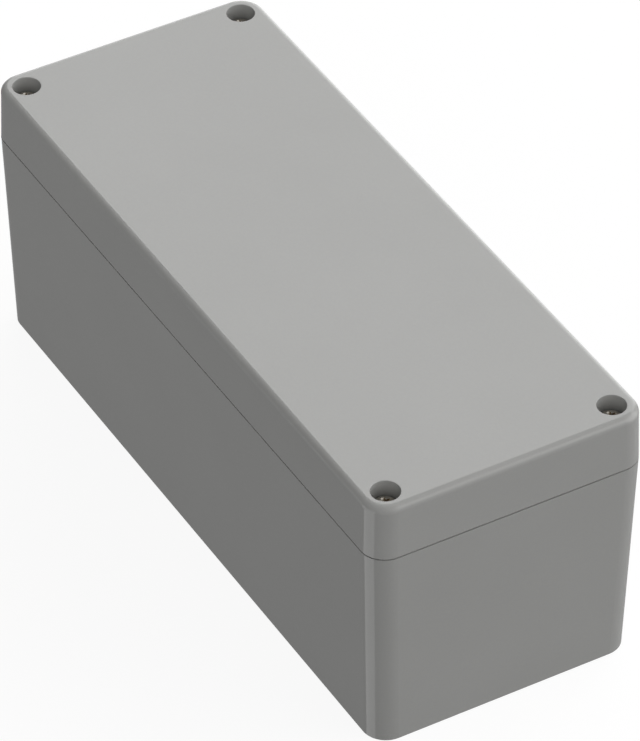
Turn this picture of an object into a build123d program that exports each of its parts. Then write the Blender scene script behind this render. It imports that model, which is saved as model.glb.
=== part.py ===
from build123d import *
import os

# Moulded polyester case with a screwed lid, for wiring and controls.
# Millimetres, +Z up. The foot of the case is at z = 0, its long side lies along X,
# and the origin is at the middle of the foot.

# Outside of the case, with lengths and widths taken at the joint between base and lid
case_length = 190.0
case_width = 74.5
corner_radius = 6.2
base_height = 58.7
lid_height = 15.4
foot_inset_ends = 1.4
foot_inset_sides = 1.7
lid_top_inset = 0.35
lid_edge_radius = 1.8
joint_gap = 0.4

# Walls of the base and lid
side_wall = 3.4
end_wall = 3.2
floor_thickness = 3.6
channel_floor = 5.0
lid_plate = 3.2
inner_edge_radius = 1.5

# Sealed chamber, closed off from the screw channel at each end by a cross wall
channel_width = 10.8
cross_wall = 3.0
cross_wall_draft = 0.7
chamber_corner_radius = 4.0

# Seal: a tongue on the base presses a cord into a groove in the lid
tongue_width = 1.8
tongue_height = 3.0
groove_clearance = 0.2
lid_rib_clearance = 0.3
lid_rib_thickness = 1.6
gasket_height = 2.3
gasket_side_clearance = 0.05

# Stiffening of the lid plate and of the screw channels
plate_rib_count = 3
plate_rib_pitch = 38.0
plate_rib_thickness = 2.0
plate_rib_depth = 2.5
web_thickness = 2.0
web_drop = 8.0
channel_corner_radius = 2.0

# Lid screws, captive in the lid by a short threaded end and a thin neck
screw_inset = 6.7
screw_diameter = 3.0
screw_thread_length = 6.3
screw_engagement = 6.0
screw_neck_diameter = 2.4
screw_tip_chamfer = 0.4
head_diameter = 6.0
head_height = 2.4
head_side_height = 0.8
head_shoulder_radius = 1.1
head_shoulder_turn = 61.0
recess_span = 3.2
recess_width = 0.85
recess_foot_span = 1.3
recess_foot_width = 0.5
recess_depth = 1.5

# Screw wells in the lid and screw columns below them
well_diameter = 7.2
well_depth = 5.4
well_rim_chamfer = 0.1
seat_thickness = 2.4
seat_bore_diameter = 3.3
lid_column_diameter = 10.4
base_column_diameter = 9.6

# Retaining washers, each on the neck of its screw in a pocket under the seat
washer_diameter = 6.0
washer_thickness = 1.0
washer_bore_clearance = 0.05
pocket_diameter = 6.6

# Threaded brass inserts
insert_wall = 0.75
insert_thread_clearance = 0.05
insert_seat_clearance = 0.02
insert_waist_depth = 0.25
insert_waist_height = 1.4
lid_insert_length = 8.0
insert_pocket_spare = 1.0
floor_thread_bore = 3.3
floor_insert_diameter = 5.6
floor_insert_length = 6.5

# Bosses on the floor of the chamber, and the holes that fix the case to a wall
boss_diameter = 9.0
boss_height = 7.0
boss_root_chamfer = 0.8
corner_boss_inset_ends = 13.0
corner_boss_inset_sides = 11.85
middle_boss_inset = 28.0
fixing_hole_diameter = 4.5
fixing_hole_inset_sides = 17.25

# Heights and plan sizes that follow from these
case_height = base_height + lid_height
plate_underside = case_height - lid_plate
tongue_top = base_height + tongue_height
groove_roof = tongue_top + gasket_height
screw_seat_z = case_height - well_depth
pocket_roof = screw_seat_z - seat_thickness
screw_tip_z = base_height - screw_engagement
washer_z = screw_tip_z + screw_thread_length
boss_top = floor_thickness + boss_height
half_channel_end = case_length / 2 - end_wall
half_channel_start = half_channel_end - channel_width
chamber_length = 2 * (half_channel_start - cross_wall)
chamber_width = case_width - 2 * side_wall
lean_at_floor = 1 - floor_thickness / base_height
lean_at_channel = 1 - channel_floor / base_height
half_channel_floor_start = half_channel_start + cross_wall_draft
half_channel_floor_end = half_channel_end - foot_inset_ends * lean_at_channel
groove_outer_grow = tongue_width + groove_clearance
half_lid_channel_start = chamber_length / 2 + groove_outer_grow + lid_rib_thickness
lid_insert_diameter = screw_diameter + 2 * insert_thread_clearance + 2 * insert_wall


def four_corners(half_x, half_y):
    """Places at the corners of a rectangle about the origin."""
    return [(sign_x * half_x, sign_y * half_y) for sign_x in (-1, 1) for sign_y in (-1, 1)]


screw_places = four_corners(case_length / 2 - screw_inset, case_width / 2 - screw_inset)
fixing_places = four_corners(
    (half_channel_floor_start + half_channel_floor_end) / 2,
    case_width / 2 - fixing_hole_inset_sides,
)
boss_places = four_corners(
    chamber_length / 2 - corner_boss_inset_ends,
    chamber_width / 2 - corner_boss_inset_sides,
)
boss_places += [(sign * (chamber_length / 2 - middle_boss_inset), 0.0) for sign in (-1, 1)]


def chamber_plan(grow):
    """Length, width and corner radius of the chamber's outline at the joint, grown on every side."""
    return (
        chamber_length + 2 * grow,
        chamber_width + 2 * grow,
        chamber_corner_radius + grow,
    )


def drafted_block(low_plan, high_plan, low_z, high_z):
    """Solid between two rounded rectangles, each given as length, width and corner radius."""
    with BuildPart() as block:
        for plan, z in ((low_plan, low_z), (high_plan, high_z)):
            with BuildSketch(Plane.XY.offset(z)):
                RectangleRounded(*plan)
        loft(ruled=True)
    return block.part


def seal_ring(outer_grow, inner_grow, low_z, high_z):
    """Closed band round the chamber, between two outlines grown from the chamber's own."""
    with BuildPart() as ring:
        with BuildSketch(Plane.XY.offset(low_z)):
            RectangleRounded(*chamber_plan(outer_grow))
            RectangleRounded(*chamber_plan(inner_grow), mode=Mode.SUBTRACT)
        extrude(amount=high_z - low_z)
    return ring.part


def end_pocket(side, low, high, column_diameter):
    """Hollow of one screw channel, with the two screw columns left standing in it.

    low and high are (inner x, outer x, half width, z) of its floor and of its mouth.
    """
    with BuildPart() as pocket:
        for inner_x, outer_x, half_width, z in (low, high):
            with BuildSketch(Plane.XY.offset(z)):
                with Locations((side * (inner_x + outer_x) / 2, 0)):
                    RectangleRounded(outer_x - inner_x, 2 * half_width, channel_corner_radius)
        loft(ruled=True)
        with BuildSketch(Plane.XY.offset(low[3])):
            with Locations(*[place for place in screw_places if place[0] * side > 0]):
                Circle(column_diameter / 2)
        extrude(amount=high[3] - low[3], mode=Mode.SUBTRACT)
    return pocket.part


def turned_plane(x, y, z):
    """Upright plane through the axis of a turned piece: its own X is the radius, its own Y is height."""
    return Plane(origin=(x, y, z), x_dir=(1, 0, 0), z_dir=(0, -1, 0))


def make_base():
    """Base moulding: chamber, end channels, screw columns, sealing tongue, floor bosses and fixing holes."""
    foot_plan = (
        case_length - 2 * foot_inset_ends,
        case_width - 2 * foot_inset_sides,
        corner_radius,
    )
    outside = drafted_block(foot_plan, (case_length, case_width, corner_radius), 0, base_height)

    # The chamber's long walls lean with the outside, so that the wall keeps one thickness
    chamber_floor_plan = (
        chamber_length - 2 * cross_wall_draft,
        chamber_width - 2 * foot_inset_sides * lean_at_floor,
        chamber_corner_radius,
    )
    chamber = drafted_block(chamber_floor_plan, chamber_plan(0), floor_thickness, base_height)
    with BuildPart() as hollow:
        add(chamber)
        fillet(hollow.edges().group_by(Axis.Z)[0], inner_edge_radius)

    channel_low = (
        half_channel_floor_start,
        half_channel_floor_end,
        case_width / 2 - end_wall - foot_inset_sides * lean_at_channel,
        channel_floor,
    )
    channel_high = (
        half_channel_start,
        half_channel_end,
        case_width / 2 - end_wall,
        base_height,
    )
    channels = [end_pocket(side, channel_low, channel_high, base_column_diameter) for side in (-1, 1)]
    tongue = seal_ring(tongue_width, 0, base_height, tongue_top)

    with BuildPart() as base:
        add(outside)
        add(hollow.part, mode=Mode.SUBTRACT)
        for channel in channels:
            add(channel, mode=Mode.SUBTRACT)
        add(tongue)

        # Web across the middle of each channel, from its floor to below the joint
        with BuildSketch(Plane.XY.offset(channel_floor)):
            for side in (-1, 1):
                with Locations((side * (half_channel_start + half_channel_end) / 2, 0)):
                    Rectangle(channel_width + end_wall, web_thickness)
        extrude(amount=base_height - web_drop - channel_floor)

        # Floor bosses, with a chamfered root and a pocket for an insert
        with BuildSketch(Plane.XY.offset(floor_thickness)):
            with Locations(*boss_places):
                Circle(boss_diameter / 2)
        extrude(amount=boss_height)
        boss_roots = (
            base.edges()
            .filter_by(GeomType.CIRCLE)
            .filter_by(lambda edge: abs(edge.center().Z - floor_thickness) < 0.01)
            .filter_by(lambda edge: abs(edge.radius - boss_diameter / 2) < 0.01)
        )
        chamfer(boss_roots, boss_root_chamfer)
        with Locations(*[(x, y, boss_top) for x, y in boss_places]):
            Hole(floor_insert_diameter / 2 + insert_seat_clearance, floor_insert_length)

        # Pockets for the lid screws' inserts, and the wall fixing holes
        with Locations(*[(x, y, base_height) for x, y in screw_places]):
            Hole(
                lid_insert_diameter / 2 + insert_seat_clearance,
                lid_insert_length + insert_pocket_spare,
            )
        with Locations(*[(x, y, channel_floor) for x, y in fixing_places]):
            Hole(fixing_hole_diameter / 2, channel_floor)
    return base


def make_lid():
    """Lid moulding: rounded shell, seal groove between two ribs, stiffened plate and four screw wells."""
    skirt_z = base_height + joint_gap
    top_plan = (
        case_length - 2 * lid_top_inset,
        case_width - 2 * lid_top_inset,
        corner_radius,
    )
    outside = drafted_block((case_length, case_width, corner_radius), top_plan, skirt_z, case_height)
    with BuildPart() as shell:
        add(outside)
        fillet(shell.edges().group_by(Axis.Z)[-1], lid_edge_radius)

    inner_rib_face = -lid_rib_clearance - lid_rib_thickness
    groove = seal_ring(groove_outer_grow, -lid_rib_clearance, skirt_z, groove_roof)
    channel_low = (
        half_lid_channel_start,
        half_channel_end,
        case_width / 2 - end_wall,
        skirt_z,
    )
    channel_high = (*channel_low[:3], plate_underside)
    channels = [end_pocket(side, channel_low, channel_high, lid_column_diameter) for side in (-1, 1)]

    with BuildPart() as hollow:
        with BuildSketch(Plane.XY.offset(skirt_z)):
            RectangleRounded(*chamber_plan(inner_rib_face))
        extrude(amount=plate_underside - skirt_z)
        with BuildSketch(Plane.XY.offset(plate_underside)):
            with GridLocations(plate_rib_pitch, 0, plate_rib_count, 1):
                Rectangle(plate_rib_thickness, chamber_width)
        extrude(amount=-plate_rib_depth, mode=Mode.SUBTRACT)

    with BuildPart() as lid:
        add(shell.part)
        add(hollow.part, mode=Mode.SUBTRACT)
        add(groove, mode=Mode.SUBTRACT)
        for channel in channels:
            add(channel, mode=Mode.SUBTRACT)

        # Feet of the screw columns, which stand on the base's columns and hold the skirt clear
        with BuildSketch(Plane.XY.offset(base_height)):
            with Locations(*screw_places):
                Circle(base_column_diameter / 2)
        extrude(amount=joint_gap)

        # Screw wells from above, washer pockets from below, and the bored seat between them
        with Locations(*[(x, y, case_height) for x, y in screw_places]):
            Hole(seat_bore_diameter / 2, case_height - base_height)
            Hole(well_diameter / 2, well_depth)
        with BuildSketch(Plane.XY.offset(base_height)):
            with Locations(*screw_places):
                Circle(pocket_diameter / 2)
        extrude(amount=pocket_roof - base_height, mode=Mode.SUBTRACT)
        well_rims = (
            lid.edges()
            .filter_by(GeomType.CIRCLE)
            .filter_by(lambda edge: abs(edge.center().Z - case_height) < 0.01)
            .filter_by(lambda edge: abs(edge.radius - well_diameter / 2) < 0.01)
        )
        chamfer(well_rims, well_rim_chamfer)
    return lid


def make_gasket():
    """Square sealing cord, one closed ring that fills the roof of the lid's groove."""
    with BuildPart() as gasket:
        add(
            seal_ring(
                groove_outer_grow - gasket_side_clearance,
                gasket_side_clearance - lid_rib_clearance,
                tongue_top,
                groove_roof,
            )
        )
    return gasket


def make_screw(x, y):
    """Pan head screw with a cross recess, a thin neck and a short threaded end."""
    plane = turned_plane(x, y, screw_seat_z)
    shank_length = screw_seat_z - screw_tip_z
    neck_length = screw_seat_z - washer_z
    with BuildPart() as screw:
        with BuildSketch(plane):
            with BuildLine():
                Polyline(
                    (0, head_height),
                    (0, -shank_length),
                    (screw_diameter / 2 - screw_tip_chamfer, -shank_length),
                    (screw_diameter / 2, -shank_length + screw_tip_chamfer),
                    (screw_diameter / 2, -neck_length),
                    (screw_neck_diameter / 2, -neck_length),
                    (screw_neck_diameter / 2, 0),
                    (head_diameter / 2, 0),
                    (head_diameter / 2, head_side_height),
                )
                shoulder = JernArc(
                    start=(head_diameter / 2, head_side_height),
                    tangent=(0, 1),
                    radius=head_shoulder_radius,
                    arc_size=head_shoulder_turn,
                )
                TangentArc((0, head_height), shoulder @ 1, tangent=(1, 0))
            make_face()
        revolve(axis=Axis((x, y, 0), (0, 0, 1)))
        for turn in (0, 90):
            for length, thickness, z in (
                (recess_span, recess_width, head_height),
                (recess_foot_span, recess_foot_width, head_height - recess_depth),
            ):
                with BuildSketch(Plane((x, y, screw_seat_z + z))):
                    Rectangle(length, thickness, rotation=turn)
            loft(mode=Mode.SUBTRACT)
    return screw


def make_washer(x, y):
    """Plastic washer that holds its screw in the lid."""
    with BuildPart() as washer:
        with BuildSketch(Plane((x, y, washer_z))):
            Circle(washer_diameter / 2)
            Circle(screw_neck_diameter / 2 + washer_bore_clearance, mode=Mode.SUBTRACT)
        extrude(amount=washer_thickness)
    return washer


def make_insert(x, y, top_z, length, diameter, bore_diameter):
    """Brass insert: a bored sleeve with a gripping band above and below a waist."""
    with BuildPart() as insert:
        with BuildSketch(Plane((x, y, top_z - length))):
            Circle(diameter / 2)
            Circle(bore_diameter / 2, mode=Mode.SUBTRACT)
        extrude(amount=length)
        with BuildSketch(Plane((x, y, top_z - (length + insert_waist_height) / 2))):
            Circle(diameter / 2)
            Circle(diameter / 2 - insert_waist_depth, mode=Mode.SUBTRACT)
        extrude(amount=insert_waist_height, mode=Mode.SUBTRACT)
    return insert


def write(piece, name):
    """Label one finished piece and write it to its own file."""
    piece.part.label = name
    export_step(piece.part, f"parts/{name}.step")


os.makedirs("parts", exist_ok=True)
write(make_base(), "base_moulding")
write(make_lid(), "lid_moulding")
write(make_gasket(), "lid_gasket")
for number, (x, y) in enumerate(screw_places, start=1):
    write(make_screw(x, y), f"lid_screw_{number}")
    write(make_washer(x, y), f"screw_washer_{number}")
    write(
        make_insert(
            x,
            y,
            base_height,
            lid_insert_length,
            lid_insert_diameter,
            screw_diameter + 2 * insert_thread_clearance,
        ),
        f"lid_insert_{number}",
    )
for number, (x, y) in enumerate(boss_places, start=1):
    write(
        make_insert(x, y, boss_top, floor_insert_length, floor_insert_diameter, floor_thread_bore),
        f"floor_insert_{number}",
    )
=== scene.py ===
import math

import bmesh
import bpy
from mathutils import Matrix, Vector


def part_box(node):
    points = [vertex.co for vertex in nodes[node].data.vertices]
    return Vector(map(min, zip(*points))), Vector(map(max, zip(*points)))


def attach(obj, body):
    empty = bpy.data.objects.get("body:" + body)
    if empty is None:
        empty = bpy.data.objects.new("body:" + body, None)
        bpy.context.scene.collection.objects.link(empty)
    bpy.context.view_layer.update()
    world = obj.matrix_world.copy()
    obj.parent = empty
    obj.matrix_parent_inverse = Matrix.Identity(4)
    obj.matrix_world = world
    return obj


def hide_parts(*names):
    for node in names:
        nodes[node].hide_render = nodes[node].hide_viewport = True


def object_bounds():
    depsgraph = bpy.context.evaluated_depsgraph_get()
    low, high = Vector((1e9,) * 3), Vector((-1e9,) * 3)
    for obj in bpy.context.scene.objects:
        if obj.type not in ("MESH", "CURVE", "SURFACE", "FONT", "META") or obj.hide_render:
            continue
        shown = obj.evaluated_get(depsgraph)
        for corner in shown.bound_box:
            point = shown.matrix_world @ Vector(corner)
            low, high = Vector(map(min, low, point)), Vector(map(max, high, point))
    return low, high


# Looks of the moulded case: finer screws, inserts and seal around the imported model,
# materials, a pale floor, soft studio light and the camera. Metres, in the model's frame.
# The sizes of screws, inserts and seal are in millimetres until their points are made.

MM = 0.001

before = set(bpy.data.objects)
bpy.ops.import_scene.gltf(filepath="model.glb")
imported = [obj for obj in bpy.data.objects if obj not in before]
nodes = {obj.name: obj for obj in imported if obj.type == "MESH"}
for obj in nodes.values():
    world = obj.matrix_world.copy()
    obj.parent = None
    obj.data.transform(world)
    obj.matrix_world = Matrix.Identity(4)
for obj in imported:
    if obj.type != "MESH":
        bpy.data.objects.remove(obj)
cad_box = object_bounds()

# Camera, at the angle from which the case was photographed
CAMERA_AZIMUTH = math.radians(60.101)
CAMERA_ELEVATION = math.radians(39.986)
CAMERA_DISTANCE = 1.4253
CAMERA_RIGHT_SHIFT = 0.002557
CAMERA_UP_SHIFT = -0.03140
CAMERA_LENS = 287.42
CAMERA_SENSOR_WIDTH = 36.0


def make_camera():
    """Camera that looks along the fitted direction at the middle of the lid's top."""
    back = Vector(
        (
            math.sin(CAMERA_AZIMUTH) * math.cos(CAMERA_ELEVATION),
            -math.cos(CAMERA_AZIMUTH) * math.cos(CAMERA_ELEVATION),
            math.sin(CAMERA_ELEVATION),
        )
    )
    right = Vector((math.cos(CAMERA_AZIMUTH), math.sin(CAMERA_AZIMUTH), 0))
    up = back.cross(right)
    top_middle = Vector((0, 0, cad_box[1][2]))
    place = top_middle + CAMERA_RIGHT_SHIFT * right + CAMERA_UP_SHIFT * up + CAMERA_DISTANCE * back
    camera = bpy.data.objects.new("camera", bpy.data.cameras.new("camera"))
    camera.data.lens = CAMERA_LENS
    camera.data.sensor_width = CAMERA_SENSOR_WIDTH
    turn = Matrix((right, up, back)).transposed().to_4x4()
    camera.matrix_world = Matrix.Translation(place) @ turn
    bpy.context.scene.collection.objects.link(camera)
    bpy.context.scene.camera = camera


make_camera()


def feed(tree, value, socket):
    """Give a socket another socket's value, or a number or colour."""
    if hasattr(value, "is_output"):
        tree.links.new(value, socket)
    else:
        socket.default_value = value


# Values of a noise at which a material has its low and its high colour or number
NOISE_LOW = 0.3
NOISE_HIGH = 0.7


class Shader:
    """A node material, with short calls for the nodes that the materials here share."""

    def __init__(self, name):
        self.material = bpy.data.materials.new(name)
        self.material.use_nodes = True
        self.tree = self.material.node_tree
        self.surface = self.tree.nodes["Principled BSDF"]
        coordinates = self.tree.nodes.new("ShaderNodeTexCoord")
        self.place = coordinates.outputs["Object"]

    def link(self, source, target):
        self.tree.links.new(source, target)

    def noise(self, size, detail=3.0, roughness=0.5, stretch=None):
        """Noise with features of about size metres; stretch scales the axes."""
        node = self.tree.nodes.new("ShaderNodeTexNoise")
        node.inputs["Scale"].default_value = 1 / size
        node.inputs["Detail"].default_value = detail
        node.inputs["Roughness"].default_value = roughness
        place = self.place
        if stretch:
            mapping = self.tree.nodes.new("ShaderNodeMapping")
            mapping.inputs["Scale"].default_value = stretch
            self.link(self.place, mapping.inputs["Vector"])
            place = mapping.outputs["Vector"]
        self.link(place, node.inputs["Vector"])
        return node.outputs["Fac"]

    def ramp(self, noise, low, high):
        """Colour between low and high, by a noise."""
        node = self.tree.nodes.new("ShaderNodeValToRGB")
        node.color_ramp.elements[0].position = NOISE_LOW
        node.color_ramp.elements[1].position = NOISE_HIGH
        node.color_ramp.elements[0].color = (*low, 1)
        node.color_ramp.elements[1].color = (*high, 1)
        self.link(noise, node.inputs["Fac"])
        return node.outputs["Color"]

    def range(self, noise, low, high):
        """Number between low and high, by a noise."""
        node = self.tree.nodes.new("ShaderNodeMapRange")
        node.inputs["From Min"].default_value = NOISE_LOW
        node.inputs["From Max"].default_value = NOISE_HIGH
        node.inputs["To Min"].default_value = low
        node.inputs["To Max"].default_value = high
        self.link(noise, node.inputs["Value"])
        return node.outputs["Result"]

    def mix(self, first, second, amount):
        """Mix of two colours, with the second one's share as its amount."""
        node = self.tree.nodes.new("ShaderNodeMix")
        node.data_type = "RGBA"
        # The colour sockets of this node are its seventh and eighth inputs and third output
        node.inputs[0].default_value = amount
        self.link(first, node.inputs[6])
        self.link(second, node.inputs[7])
        return node.outputs[2]

    def bump(self, height, depth, strength, below=None):
        """Surface relief of about depth metres from a height socket."""
        node = self.tree.nodes.new("ShaderNodeBump")
        node.inputs["Strength"].default_value = strength
        node.inputs["Distance"].default_value = depth
        self.link(height, node.inputs["Height"])
        if below:
            self.link(below, node.inputs["Normal"])
        return node.outputs["Normal"]

    def finish(self, **settings):
        """Material with the surface's own sockets set or linked."""
        for name, value in settings.items():
            feed(self.tree, value, self.surface.inputs[name.replace("_", " ")])
        return self.material


def make_moulding():
    """Grey glass-fibre polyester with a smooth satin skin."""
    shader = Shader("moulded_polyester")
    dark = (0.352, 0.352, 0.342)
    light = (0.372, 0.372, 0.362)
    cloud = shader.noise(size=0.03, detail=2.0)
    speckle = shader.noise(size=0.0006, detail=4.0, roughness=0.6)
    clouded = shader.ramp(cloud, dark, light)
    speckled = shader.ramp(speckle, dark, light)
    relief = shader.noise(size=0.0004)
    waves = shader.noise(size=0.006, detail=2.0)
    wavy = shader.bump(waves, depth=0.00002, strength=0.2)
    return shader.finish(
        Base_Color=shader.mix(clouded, speckled, amount=0.5),
        Roughness=shader.range(speckle, low=0.06, high=0.09),
        Normal=shader.bump(relief, depth=0.000008, strength=0.25, below=wavy),
    )


def make_rubber():
    """Dark foamed sealing cord with fine open cells on its skin."""
    shader = Shader("sealing_rubber")
    cells = shader.noise(size=0.00025, detail=4.0, roughness=0.7)
    patches = shader.noise(size=0.004, detail=2.0)
    celled = shader.ramp(cells, low=(0.018, 0.018, 0.019), high=(0.034, 0.034, 0.035))
    patched = shader.ramp(patches, low=(0.022, 0.022, 0.022), high=(0.030, 0.030, 0.031))
    return shader.finish(
        Base_Color=shader.mix(celled, patched, amount=0.4),
        Roughness=shader.range(cells, low=0.72, high=0.9),
        Normal=shader.bump(cells, depth=0.00006, strength=0.6),
    )


def make_steel():
    """Stainless steel of the lid screws, turned and lightly tumbled."""
    shader = Shader("screw_steel")
    turning = shader.noise(size=0.0003, detail=4.0, stretch=(0.15, 0.15, 3.0))
    stain = shader.noise(size=0.0016)
    turned = shader.ramp(turning, low=(0.62, 0.58, 0.51), high=(0.78, 0.74, 0.67))
    stained = shader.ramp(stain, low=(0.58, 0.54, 0.47), high=(0.80, 0.76, 0.69))
    return shader.finish(
        Base_Color=shader.mix(turned, stained, amount=0.5),
        Metallic=1.0,
        Roughness=shader.range(stain, low=0.28, high=0.40),
        Normal=shader.bump(turning, depth=0.000006, strength=0.35),
    )


def make_recess_painted_shade_steel():
    """The screw's steel, duller, with a darker colour that is painted shade in the driver recess.
    """
    shader = Shader("recess_painted_shade_steel")
    stain = shader.noise(size=0.0005)
    return shader.finish(
        Base_Color=shader.ramp(stain, low=(0.24, 0.18, 0.105), high=(0.40, 0.31, 0.20)),
        Metallic=1.0,
        Roughness=shader.range(stain, low=0.35, high=0.5),
        Normal=shader.bump(stain, depth=0.000008, strength=0.4),
    )


def make_nylon():
    """Milky nylon of the retaining washers."""
    shader = Shader("washer_nylon")
    cloud = shader.noise(size=0.0012)
    grain = shader.noise(size=0.0002)
    return shader.finish(
        Base_Color=shader.ramp(cloud, low=(0.66, 0.64, 0.57), high=(0.76, 0.74, 0.68)),
        Roughness=shader.range(grain, low=0.38, high=0.5),
        Normal=shader.bump(grain, depth=0.00001, strength=0.4),
    )


def make_brass():
    """Machined brass of the inserts, a little dulled."""
    shader = Shader("insert_brass")
    turning = shader.noise(size=0.0003, detail=4.0, stretch=(0.2, 0.2, 3.0))
    tarnish = shader.noise(size=0.0012)
    turned = shader.ramp(turning, low=(0.72, 0.50, 0.20), high=(0.86, 0.64, 0.30))
    tarnished = shader.ramp(tarnish, low=(0.52, 0.36, 0.16), high=(0.84, 0.62, 0.30))
    return shader.finish(
        Base_Color=shader.mix(turned, tarnished, amount=0.45),
        Metallic=1.0,
        Roughness=shader.range(tarnish, low=0.24, high=0.4),
        Normal=shader.bump(turning, depth=0.000006, strength=0.4),
    )


moulding = make_moulding()
rubber = make_rubber()
steel = make_steel()
recess_painted_shade_steel = make_recess_painted_shade_steel()
nylon = make_nylon()
brass = make_brass()

NODE_MATERIALS = {
    "base_moulding": moulding,
    "lid_moulding": moulding,
    "lid_gasket": rubber,
    "lid_screw": steel,
    "screw_washer": nylon,
    "lid_insert": brass,
    "floor_insert": brass,
}


def dress_nodes():
    """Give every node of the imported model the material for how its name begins."""
    for name, node in nodes.items():
        for start, material in NODE_MATERIALS.items():
            if name.startswith(start):
                for slot in node.material_slots:
                    slot.material = material


dress_nodes()

# Lid screws: M3 pan head, sizes along the screw's own axis with heights in the model's frame
SCREW_COUNT = 4
SCREW_SEGMENTS = 48
SCREW_CREASE = math.radians(38)
SCREW_TIP_Z = 52.7
SCREW_NECK_Z = 59.0
SCREW_SEAT_Z = 68.7
SCREW_RADIUS = 1.5
SCREW_NECK_RADIUS = 1.2
SCREW_PITCH = 0.5
SCREW_ROWS_PER_TURN = 8
TIP_CHAMFER = 0.4
THREAD_RUNOUT = 0.5
CREST_SHARE = 0.125
ROOT_SHARE = 0.75
UNDERHEAD_RADIUS = 0.12
UNDERHEAD_MIDDLE = 0.3
HEAD_RADIUS = 3.0
HEAD_HEIGHT = 2.4
HEAD_TOP_Z = SCREW_SEAT_Z + HEAD_HEIGHT
HEAD_SIDE = 0.8
HEAD_FOOT_CHAMFER = 0.08
SHOULDER_RADIUS = 1.1
SHOULDER_TURN = math.radians(61)
SHOULDER_STEPS = 8
CROWN_STEPS = 8

# Driver recess: reach and half width of its arms at the top and foot, and a cone in the middle.
# Its edges with the crown are rounded, and its faces within a margin of it get a darker colour,
# which is painted shade.
RECESS_TOP = (1.6, 0.425)
RECESS_FOOT = (0.65, 0.25)
RECESS_DEPTH = 1.5
RECESS_SPARE = 0.3
RECESS_CONE_RADIUS = 0.72
RECESS_CONE_DEPTH = 1.75
RECESS_CONE_SEGMENTS = 24
RECESS_WELD = 0.002
RECESS_EDGE = 0.035
RECESS_EDGE_ANGLE = math.radians(30)
RECESS_EDGE_SEGMENTS = 2
RECESS_EDGE_LIFT = 0.2
RECESS_EDGE_MARGIN = 0.1
RECESS_PAINTED_SHADE_MARGIN = 0.05
RECESS_WALL_TILT = 0.35
RECESS_CROWN_DROP = 0.6

# Threaded inserts, and the bore radius, pitch and depth of their M3 and M4 threads
INSERT_SEGMENTS = 64
INSERT_CREASE = math.radians(28)
INSERT_CHAMFER = 0.25
INSERT_WAIST_HEIGHT = 1.4
INSERT_WAIST_DEPTH = 0.25
INSERT_ROWS_PER_TURN = 6
KNURL_DEPTH = 0.12
KNURL_SLANT = math.radians(26)
KNURL_STEPS = 4
LID_INSERT_COUNT = 4
LID_INSERT_THREAD = (1.55, 0.5, 0.18)
FLOOR_INSERT_COUNT = 6
FLOOR_INSERT_THREAD = (1.65, 0.7, 0.36)

# Sealing cord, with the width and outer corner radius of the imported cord
CORD_WIDTH = 2.2
CORD_CORNER_RADIUS = 5.95
CORD_CORNER_STEPS = 10
CORD_EDGE_RADIUS = 0.45
CORD_EDGE_STEPS = 4
CORD_CREASE = math.radians(50)


def new_object(name, mesh, material):
    """Object for a finished mesh, with its material."""
    piece = bpy.data.objects.new(name, mesh)
    piece.data.materials.append(material)
    bpy.context.scene.collection.objects.link(piece)
    return piece


def finished_mesh(build, name):
    """Mesh with what has been built."""
    mesh = bpy.data.meshes.new(name)
    build.to_mesh(mesh)
    build.free()
    return mesh


def smooth_by_angle(mesh, angle):
    """Shade smooth, with the edges sharper than angle kept crisp."""
    build = bmesh.new()
    build.from_mesh(mesh)
    for face in build.faces:
        face.smooth = True
    for edge in build.edges:
        if len(edge.link_faces) == 2:
            edge.smooth = edge.calc_face_angle(0) < angle
    build.to_mesh(mesh)
    build.free()


def thread_share(phase):
    """Height of a metric thread's flank, 0 at the root and 1 at the crest, for a phase in turns."""
    from_crest = abs((phase % 1.0) - 0.5) * 2
    return min(1.0, max(0.0, (ROOT_SHARE - from_crest) / (ROOT_SHARE - CREST_SHARE)))


def add_rings(build, rings):
    """Vertices of a stack of closed rings, each a list of points, joined by quads."""
    made = [[build.verts.new(point) for point in ring] for ring in rings]
    for low, high in zip(made, made[1:]):
        for i in range(len(low)):
            j = (i + 1) % len(low)
            build.faces.new((low[i], low[j], high[j], high[i]))
    return made


def close_loop(build, made):
    """Quads that join the last ring to the first, and faces that all look outwards."""
    first, last = made[0], made[-1]
    for i in range(len(first)):
        j = (i + 1) % len(first)
        build.faces.new((last[i], last[j], first[j], first[i]))
    bmesh.ops.recalc_face_normals(build, faces=build.faces)


def ring_points(radii, z, turn=0.0):
    """Points of one ring, in metres, from its radii and height."""
    count = len(radii)
    return [
        (
            radius * math.cos(turn + math.tau * i / count) * MM,
            radius * math.sin(turn + math.tau * i / count) * MM,
            z * MM,
        )
        for i, radius in enumerate(radii)
    ]


def screw_thread_radius(z, angle):
    """Radius of the screw's thread at a height and angle, with its chamfered tip and run-out."""
    share = thread_share((z - SCREW_TIP_Z) / SCREW_PITCH - angle / math.tau)
    radius = SCREW_NECK_RADIUS + (SCREW_RADIUS - SCREW_NECK_RADIUS) * share
    radius = min(radius, SCREW_RADIUS - TIP_CHAMFER + (z - SCREW_TIP_Z))
    runout = min(1.0, max(0.0, (z - SCREW_NECK_Z + THREAD_RUNOUT) / THREAD_RUNOUT))
    return radius + (SCREW_NECK_RADIUS - radius) * runout


def screw_thread_rings():
    """Rings of the threaded end of the screw, from its tip up."""
    angles = [math.tau * i / SCREW_SEGMENTS for i in range(SCREW_SEGMENTS)]
    row_height = SCREW_PITCH / SCREW_ROWS_PER_TURN
    row_count = round((SCREW_NECK_Z - SCREW_TIP_Z) / row_height)
    rings = []
    for row in range(row_count + 1):
        z = SCREW_TIP_Z + (SCREW_NECK_Z - SCREW_TIP_Z) * row / row_count
        rings.append(ring_points([screw_thread_radius(z, angle) for angle in angles], z))
    return rings


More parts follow.
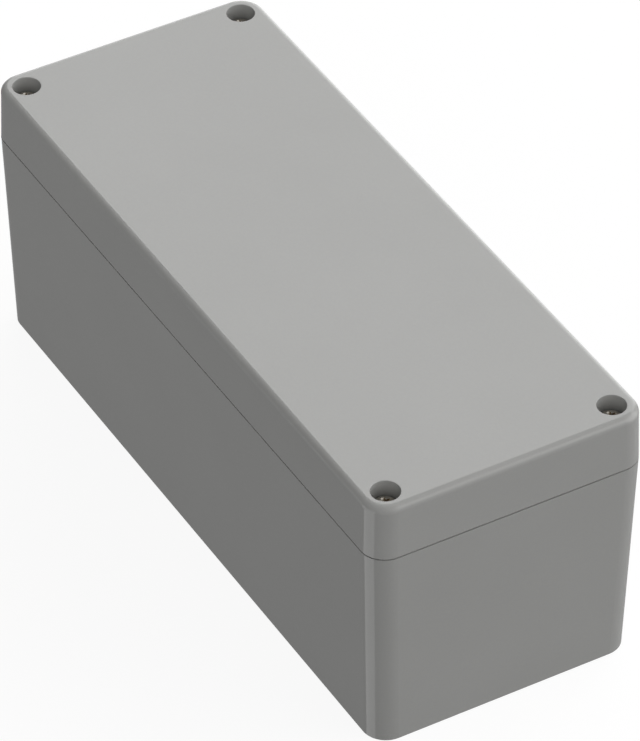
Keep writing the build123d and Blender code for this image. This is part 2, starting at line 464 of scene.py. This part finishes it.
def crown_profile(start_radius, start_z):
    """Radius and height pairs of the head's crown, one arc that is level at the axis."""
    rise = HEAD_TOP_Z - start_z
    crown_radius = (start_radius**2 + rise**2) / (2 * rise)
    centre_z = HEAD_TOP_Z - crown_radius
    profile = []
    for step in range(1, CROWN_STEPS):
        radius = start_radius * (1 - step / CROWN_STEPS)
        profile.append((radius, centre_z + math.sqrt(crown_radius**2 - radius**2)))
    return profile


def head_profile():
    """Radius and height pairs of the pan head, from its foot to just short of its middle."""
    foot = SCREW_SEAT_Z
    eased = UNDERHEAD_MIDDLE * UNDERHEAD_RADIUS
    profile = [
        (SCREW_NECK_RADIUS, foot - UNDERHEAD_RADIUS),
        (SCREW_NECK_RADIUS + eased, foot - eased),
        (SCREW_NECK_RADIUS + UNDERHEAD_RADIUS, foot),
        (HEAD_RADIUS - HEAD_FOOT_CHAMFER, foot),
        (HEAD_RADIUS, foot + HEAD_FOOT_CHAMFER),
        (HEAD_RADIUS, foot + HEAD_SIDE),
    ]
    for step in range(1, SHOULDER_STEPS + 1):
        turn = SHOULDER_TURN * step / SHOULDER_STEPS
        radius = HEAD_RADIUS - SHOULDER_RADIUS + SHOULDER_RADIUS * math.cos(turn)
        profile.append((radius, foot + HEAD_SIDE + SHOULDER_RADIUS * math.sin(turn)))
    return profile + crown_profile(*profile[-1])


def screw_body_mesh():
    """Closed mesh of a whole screw without its recess: threaded end, neck and pan head."""
    build = bmesh.new()
    rings = screw_thread_rings()
    for radius, z in head_profile():
        rings.append(ring_points([radius] * SCREW_SEGMENTS, z))
    made = add_rings(build, rings)
    build.faces.new(list(reversed(made[0])))
    top = build.verts.new((0, 0, HEAD_TOP_Z * MM))
    last = made[-1]
    for i in range(SCREW_SEGMENTS):
        build.faces.new((last[i], last[(i + 1) % SCREW_SEGMENTS], top))
    return finished_mesh(build, "screw_body")


def cross_outline(reach, half_width, z):
    """Points of a cross with four equal arms, in metres."""
    outline = []
    for quarter in range(4):
        turn = Matrix.Rotation(math.tau * quarter / 4, 2)
        for corner in ((reach, -half_width), (reach, half_width), (half_width, half_width)):
            point = turn @ Vector(corner)
            outline.append((point.x * MM, point.y * MM, z * MM))
    return outline


def recess_cutter_mesh():
    """Closed tapered cross, which goes on past the top of the head at the same taper."""
    build = bmesh.new()
    grow = RECESS_SPARE / RECESS_DEPTH
    reach = RECESS_TOP[0] + grow * (RECESS_TOP[0] - RECESS_FOOT[0])
    half_width = RECESS_TOP[1] + grow * (RECESS_TOP[1] - RECESS_FOOT[1])
    foot = cross_outline(*RECESS_FOOT, HEAD_TOP_Z - RECESS_DEPTH)
    top = cross_outline(reach, half_width, HEAD_TOP_Z + RECESS_SPARE)
    made = add_rings(build, [foot, top])
    build.faces.new(list(reversed(made[0])))
    build.faces.new(made[-1])
    return finished_mesh(build, "recess_cross")


def recess_cone_mesh():
    """Pointed cone that the driver's tip leaves in the middle of the recess."""
    build = bmesh.new()
    slope = RECESS_CONE_RADIUS / RECESS_CONE_DEPTH
    wide = [RECESS_CONE_RADIUS + slope * RECESS_SPARE] * RECESS_CONE_SEGMENTS
    (ring,) = add_rings(build, [ring_points(wide, HEAD_TOP_Z + RECESS_SPARE)])
    point = build.verts.new((0, 0, (HEAD_TOP_Z - RECESS_CONE_DEPTH) * MM))
    build.faces.new(ring)
    for i in range(RECESS_CONE_SEGMENTS):
        build.faces.new((ring[(i + 1) % RECESS_CONE_SEGMENTS], ring[i], point))
    return finished_mesh(build, "recess_cone")


def cut(mesh, cutters):
    """Mesh with each cutter's mesh taken out of it."""
    body = bpy.data.objects.new("cut_body", mesh)
    bpy.context.scene.collection.objects.link(body)
    tools = []
    for cutter in cutters:
        tool = bpy.data.objects.new("cut_tool", cutter)
        bpy.context.scene.collection.objects.link(tool)
        modifier = body.modifiers.new("cut", "BOOLEAN")
        modifier.operation = "DIFFERENCE"
        modifier.solver = "EXACT"
        modifier.object = tool
        tools.append(tool)
    depsgraph = bpy.context.evaluated_depsgraph_get()
    made = bpy.data.meshes.new_from_object(body.evaluated_get(depsgraph))
    for scrap in (body, *tools):
        bpy.data.objects.remove(scrap)
    return made


def is_recess_edge(edge):
    """Whether an edge is where the recess meets the crown."""
    if len(edge.link_faces) != 2 or edge.calc_face_angle(0) < RECESS_EDGE_ANGLE:
        return False
    lowest = (HEAD_TOP_Z - RECESS_DEPTH + RECESS_EDGE_LIFT) * MM
    reach = (RECESS_TOP[0] + RECESS_EDGE_MARGIN) * MM
    near = all(v.co.z > lowest and math.hypot(v.co.x, v.co.y) < reach for v in edge.verts)
    return near and edge.is_convex


def round_recess(mesh):
    """Small rounds on the edges where the recess meets the crown."""
    build = bmesh.new()
    build.from_mesh(mesh)
    bmesh.ops.dissolve_degenerate(build, dist=RECESS_WELD * MM, edges=build.edges)
    bmesh.ops.bevel(
        build,
        geom=[edge for edge in build.edges if is_recess_edge(edge)],
        offset=RECESS_EDGE * MM,
        segments=RECESS_EDGE_SEGMENTS,
        profile=0.5,
        affect="EDGES",
        clamp_overlap=True,
    )
    build.to_mesh(mesh)
    build.free()


def paint_recess_shade(mesh):
    """Give the faces inside the driver recess the mesh's second material, whose darker colour is
    painted shade.
    """
    reach = (RECESS_TOP[0] + RECESS_PAINTED_SHADE_MARGIN) * MM
    lowest = (HEAD_TOP_Z - RECESS_CONE_DEPTH) * MM
    crown = (HEAD_TOP_Z - RECESS_CROWN_DROP) * MM
    for face in mesh.polygons:
        middle = face.center
        if math.hypot(middle.x, middle.y) > reach or middle.z < lowest:
            continue
        if face.normal.z < RECESS_WALL_TILT or middle.z < crown:
            face.material_index = 1


def make_screws():
    """Four threaded screws with cross recesses, in place of the plain ones."""
    mesh = cut(screw_body_mesh(), (recess_cutter_mesh(), recess_cone_mesh()))
    round_recess(mesh)
    smooth_by_angle(mesh, SCREW_CREASE)
    paint_recess_shade(mesh)
    for number in range(1, SCREW_COUNT + 1):
        low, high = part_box(f"lid_screw_{number}")
        middle = (low + high) / 2
        own = mesh.copy()
        own.transform(Matrix.Translation((middle.x, middle.y, 0)))
        piece = new_object(f"threaded_screw_{number}", own, steel)
        # The second material paints shade into the driver recess.
        piece.data.materials.append(recess_painted_shade_steel)
        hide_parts(f"lid_screw_{number}")
        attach(piece, f"screw_{number}")


def insert_ring(radius, z):
    """Points of one plain ring of an insert."""
    return ring_points([radius] * INSERT_SEGMENTS, z)


def knurled_band(radius, start, end, hand):
    """Rings of a band of knurls from one height to another, slanted by hand, 1 or -1."""
    knurled = [radius - KNURL_DEPTH * (i % 2) for i in range(INSERT_SEGMENTS)]
    rings = []
    for step in range(KNURL_STEPS + 1):
        z = start + (end - start) * step / KNURL_STEPS
        turn = hand * (z - start) * math.tan(KNURL_SLANT) / radius
        rings.append(ring_points(knurled, z, turn))
    return rings


def insert_outside(low_z, high_z, radius):
    """Rings of an insert's outside, from its foot up: two knurled bands with a waist between."""
    middle = (low_z + high_z) / 2
    waist_low = middle - INSERT_WAIST_HEIGHT / 2
    waist_high = middle + INSERT_WAIST_HEIGHT / 2
    waist = radius - INSERT_WAIST_DEPTH
    chamfered = radius - INSERT_CHAMFER - KNURL_DEPTH
    return [
        insert_ring(chamfered, low_z),
        *knurled_band(radius, low_z + INSERT_CHAMFER, waist_low, 1),
        insert_ring(waist, waist_low),
        insert_ring(waist, waist_high),
        *knurled_band(radius, waist_high, high_z - INSERT_CHAMFER, -1),
        insert_ring(chamfered, high_z),
    ]


def insert_bore(low_z, high_z, thread):
    """Rings of an insert's threaded bore, from its mouth down."""
    bore_radius, pitch, depth = thread
    mouth = bore_radius + depth
    row_count = round((high_z - low_z) * INSERT_ROWS_PER_TURN / pitch)
    rings = [insert_ring(mouth, high_z)]
    for row in range(row_count + 1):
        z = high_z - depth / 2 - (high_z - low_z - depth) * row / row_count
        radii = []
        for i in range(INSERT_SEGMENTS):
            share = thread_share((z - low_z) / pitch - i / INSERT_SEGMENTS)
            radii.append(mouth - depth * share)
        rings.append(ring_points(radii, z))
    rings.append(insert_ring(mouth, low_z))
    return rings


def make_inserts(start, count, thread):
    """Knurled and threaded inserts in place of the plain ones whose names begin with start."""
    for number in range(1, count + 1):
        low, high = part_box(f"{start}_{number}")
        middle = (low + high) / 2
        low_z, high_z, radius = low.z / MM, high.z / MM, (high.x - low.x) / 2 / MM
        build = bmesh.new()
        rings = insert_outside(low_z, high_z, radius) + insert_bore(low_z, high_z, thread)
        close_loop(build, add_rings(build, rings))
        mesh = finished_mesh(build, "insert")
        smooth_by_angle(mesh, INSERT_CREASE)
        mesh.transform(Matrix.Translation((middle.x, middle.y, 0)))
        piece = new_object(f"knurled_{start}_{number}", mesh, brass)
        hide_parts(f"{start}_{number}")
        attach(piece, "base")


def quarter_turns(start, steps):
    """Angles of a quarter circle from start degrees, in equal steps."""
    return [math.radians(start + 90 * step / steps) for step in range(steps + 1)]


def cord_section(height):
    """Across and up pairs of the cord's section, with rounded edges."""
    right = CORD_WIDTH - CORD_EDGE_RADIUS
    top = height - CORD_EDGE_RADIUS
    corners = (
        (right, CORD_EDGE_RADIUS, -90),
        (right, top, 0),
        (CORD_EDGE_RADIUS, top, 90),
        (CORD_EDGE_RADIUS, CORD_EDGE_RADIUS, 180),
    )
    return [
        (across + CORD_EDGE_RADIUS * math.cos(turn), up + CORD_EDGE_RADIUS * math.sin(turn))
        for across, up, start in corners
        for turn in quarter_turns(start, CORD_EDGE_STEPS)
    ]


def cord_rings(low, high):
    """The cord's section, in metres, set round the four corners of its box."""
    x = high.x / MM - CORD_CORNER_RADIUS
    y = high.y / MM - CORD_CORNER_RADIUS
    inside = CORD_CORNER_RADIUS - CORD_WIDTH
    section = cord_section(high.z / MM - low.z / MM)
    rings = []
    for corner_x, corner_y, start in ((x, y, 0), (-x, y, 90), (-x, -y, 180), (x, -y, 270)):
        for turn in quarter_turns(start, CORD_CORNER_STEPS):
            rings.append(
                [
                    (
                        (corner_x + (inside + across) * math.cos(turn)) * MM,
                        (corner_y + (inside + across) * math.sin(turn)) * MM,
                        low.z + up * MM,
                    )
                    for across, up in section
                ]
            )
    return rings


def make_seal():
    """Sealing cord with rounded edges, in place of the square one."""
    build = bmesh.new()
    close_loop(build, add_rings(build, cord_rings(*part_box("lid_gasket"))))
    mesh = finished_mesh(build, "seal")
    smooth_by_angle(mesh, CORD_CREASE)
    piece = new_object("sealing_cord", mesh, rubber)
    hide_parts("lid_gasket")
    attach(piece, "lid")


make_screws()
make_inserts("lid_insert", LID_INSERT_COUNT, LID_INSERT_THREAD)
make_inserts("floor_insert", FLOOR_INSERT_COUNT, FLOOR_INSERT_THREAD)
make_seal()

# Floor. It is white where it is lit, and keeps the shadow. It bounces little light, and the case
# reflects the studio and not the floor, because the case in the photo stands free in its studio.
FLOOR_SIZE = 12.0
FLOOR_Z = -0.00005
FLOOR_GREY = 0.12
FLOOR_ROUGHNESS = 0.9
FLOOR_WHITE = 0.90
FLOOR_BOUNCE = 0.10


def worked_out(tree, operation, *values):
    """Socket that gives the result of a calculation with sockets and numbers."""
    node = tree.nodes.new("ShaderNodeMath")
    node.operation = operation
    for value, socket in zip(values, node.inputs):
        feed(tree, value, socket)
    return node.outputs[0]


def added(tree, sources):
    """Socket that gives the sum of the sources."""
    total = sources[0]
    for source in sources[1:]:
        total = worked_out(tree, "ADD", total, source)
    return total


def floor_material():
    """Dull grey with a glow of its own, which differs by the kind of ray that sees it."""
    material = bpy.data.materials.new("floor")
    material.use_nodes = True
    material.cycles.emission_sampling = "NONE"
    tree = material.node_tree
    surface = tree.nodes["Principled BSDF"]
    surface.inputs["Base Color"].default_value = (FLOOR_GREY, FLOOR_GREY, FLOOR_GREY, 1)
    surface.inputs["Roughness"].default_value = FLOOR_ROUGHNESS
    surface.inputs["Specular IOR Level"].default_value = 0.0
    surface.inputs["Emission Color"].default_value = (1, 1, 1, 1)
    path = tree.nodes.new("ShaderNodeLightPath")
    glow = added(
        tree,
        [
            worked_out(tree, "MULTIPLY", path.outputs["Is Camera Ray"], FLOOR_WHITE),
            worked_out(tree, "MULTIPLY", path.outputs["Is Transmission Ray"], FLOOR_WHITE),
            worked_out(tree, "MULTIPLY", path.outputs["Is Diffuse Ray"], FLOOR_BOUNCE),
        ],
    )
    tree.links.new(glow, surface.inputs["Emission Strength"])
    return material


def make_floor():
    """Plain pale floor under the case."""
    material = floor_material()
    bpy.ops.mesh.primitive_plane_add(size=FLOOR_SIZE, location=(0, 0, FLOOR_Z))
    floor = bpy.context.object
    floor.name = "floor"
    floor.data.materials.append(material)
    floor.visible_glossy = False


make_floor()

# Soft panels of the studio, as seen from the case: azimuth from +X towards +Y, elevation,
# half width, half height, edge softness and shift up, all in degrees, and strength
PANELS = (
    ("right", 64, 16, 27, 29, 1.5, 0, 1.60),
    ("right_side", 26, 30, 9, 17, 4.0, 0, 1.22),
    ("behind", 138, 22, 24, 25, 1.5, 0, 1.83),
    ("low_behind", 150, -20, 22, 21, 3.0, 0, 0.68),
    ("front", 258.3, 15, 35.3, 40, 0.6, -52.4, 0.84),
    ("below", 0, -90, 80, 80, 3.0, 0, 0.06),
)
# Cosines of the angle from a panel's middle at which its light ends and is whole
PANEL_END = 0.05
PANEL_WHOLE = 0.1
STUDIO_LEVEL = 0.30

# Soft lamps that light without showing in reflections: azimuth and elevation in degrees, strength
LAMPS = (
    ("far_lamp", 98, 25, 0.88),
    ("right_lamp", 64, 32, 0.26),
    ("front_lamp", 324, 25, 0.59),
    ("left_lamp", 290, 20, 0.22),
)
LAMP_ANGLE = math.radians(50)


def direction(azimuth, elevation):
    """Unit vector towards an azimuth and an elevation in degrees."""
    a, e = math.radians(azimuth), math.radians(elevation)
    return Vector((math.cos(a) * math.cos(e), math.sin(a) * math.cos(e), math.sin(e)))


def along(tree, source, axis):
    """Socket that gives how far the source vector goes along an axis."""
    node = tree.nodes.new("ShaderNodeVectorMath")
    node.operation = "DOT_PRODUCT"
    node.inputs[1].default_value = axis
    tree.links.new(source, node.inputs[0])
    return node.outputs["Value"]


def mapped(tree, source, start, end):
    """Node that maps the source to its To Min at start and its To Max at end."""
    node = tree.nodes.new("ShaderNodeMapRange")
    node.inputs["From Min"].default_value = start
    node.inputs["From Max"].default_value = end
    tree.links.new(source, node.inputs["Value"])
    return node


def fade(tree, source, start, end):
    """Socket that goes softly from 1 to 0 as the source goes from start to end."""
    node = mapped(tree, source, start, end)
    node.interpolation_type = "SMOOTHSTEP"
    node.inputs["To Min"].default_value = 1.0
    node.inputs["To Max"].default_value = 0.0
    return node.outputs["Result"]


def panel_light(tree, source, panel):
    """Socket that gives the light of one rectangular panel in the direction of the source."""
    name, azimuth, elevation, half_width, half_height, softness, shift, strength = panel
    middle = direction(azimuth, elevation)
    across = direction(azimuth + 90, 0)
    up = middle.cross(across)
    ahead = along(tree, source, middle)
    light = mapped(tree, ahead, PANEL_END, PANEL_WHOLE).outputs["Result"]
    for axis, half, offset in ((across, half_width, 0), (up, half_height, shift)):
        share = worked_out(tree, "DIVIDE", along(tree, source, axis), ahead)
        moved = worked_out(tree, "SUBTRACT", share, math.tan(math.radians(offset)))
        start = math.tan(math.radians(half - softness))
        end = math.tan(math.radians(half + softness))
        inside = fade(tree, worked_out(tree, "ABSOLUTE", moved), start, end)
        light = worked_out(tree, "MULTIPLY", light, inside)
    light = worked_out(tree, "MULTIPLY", light, strength)
    light.node.label = name
    return light


def make_world():
    """Dim studio with soft light panels, white to the camera and through clear materials."""
    world = bpy.data.worlds.new("studio")
    bpy.context.scene.world = world
    world.use_nodes = True
    tree = world.node_tree
    background = tree.nodes["Background"]
    background.inputs["Color"].default_value = (1, 1, 1, 1)
    toward = tree.nodes.new("ShaderNodeTexCoord").outputs["Generated"]
    light = added(tree, [panel_light(tree, toward, panel) for panel in PANELS])
    path = tree.nodes.new("ShaderNodeLightPath")
    white = added(tree, [path.outputs["Is Camera Ray"], path.outputs["Is Transmission Ray"]])
    seen = tree.nodes.new("ShaderNodeMix")
    tree.links.new(white, seen.inputs["Factor"])
    # The number sockets of this node are its third and fourth inputs and first output
    tree.links.new(worked_out(tree, "ADD", light, STUDIO_LEVEL), seen.inputs[2])
    seen.inputs[3].default_value = 1.0
    tree.links.new(seen.outputs[0], background.inputs["Strength"])


def make_lamps():
    """Wide soft lamps round the case."""
    for name, azimuth, elevation, strength in LAMPS:
        lamp = bpy.data.lights.new(name, "SUN")
        lamp.energy = strength
        lamp.angle = LAMP_ANGLE
        holder = bpy.data.objects.new(name, lamp)
        holder.rotation_euler = direction(azimuth, elevation).to_track_quat("Z", "Y").to_euler()
        holder.visible_glossy = False
        bpy.context.scene.collection.objects.link(holder)


make_world()
make_lamps()

bpy.context.scene.view_settings.view_transform = "Standard"
